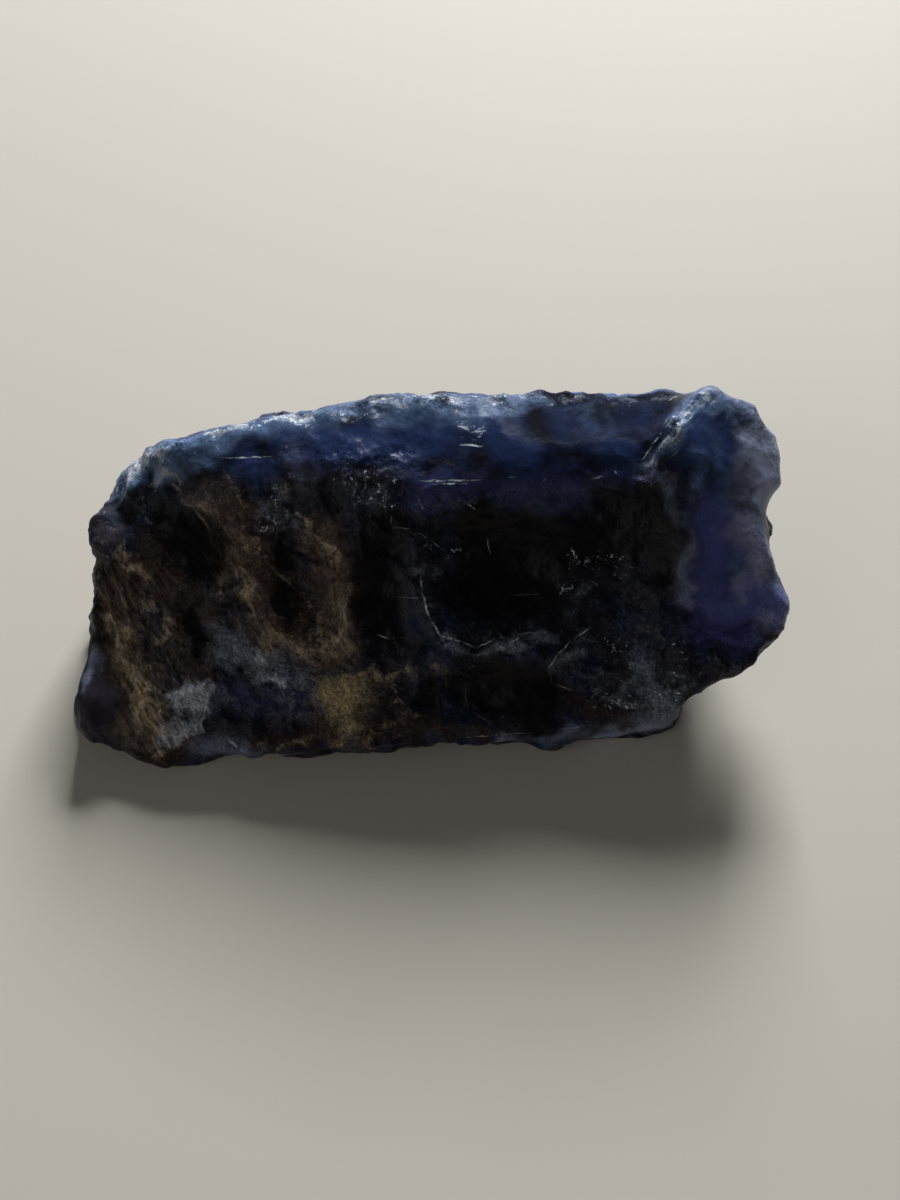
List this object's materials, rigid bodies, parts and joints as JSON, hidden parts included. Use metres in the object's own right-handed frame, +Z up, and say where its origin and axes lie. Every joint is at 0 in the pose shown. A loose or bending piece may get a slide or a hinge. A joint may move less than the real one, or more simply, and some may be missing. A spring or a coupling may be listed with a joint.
{
  "type": "rough lapis lazuli stone",
  "caption": "Rough broken lump of deep blue lapis lazuli with a sloping front, a proud waxy end block and a flat broken base to rest on.",
  "frame": {"origin": "centre of the bounding box in X and Y, on the flat base", "axes": "+X along the stone towards the proud end block, +Y towards the steep back, +Z up from the flat base"},
  "size_m": [0.0618, 0.0298, 0.0217],
  "materials": {
    "lapis": "waxy, unpolished broken surface, deep blue with pale brown veins"
  },
  "bodies": {
    "root": {"lapis_stone": "lapis"}
  },
  "joints": []
}
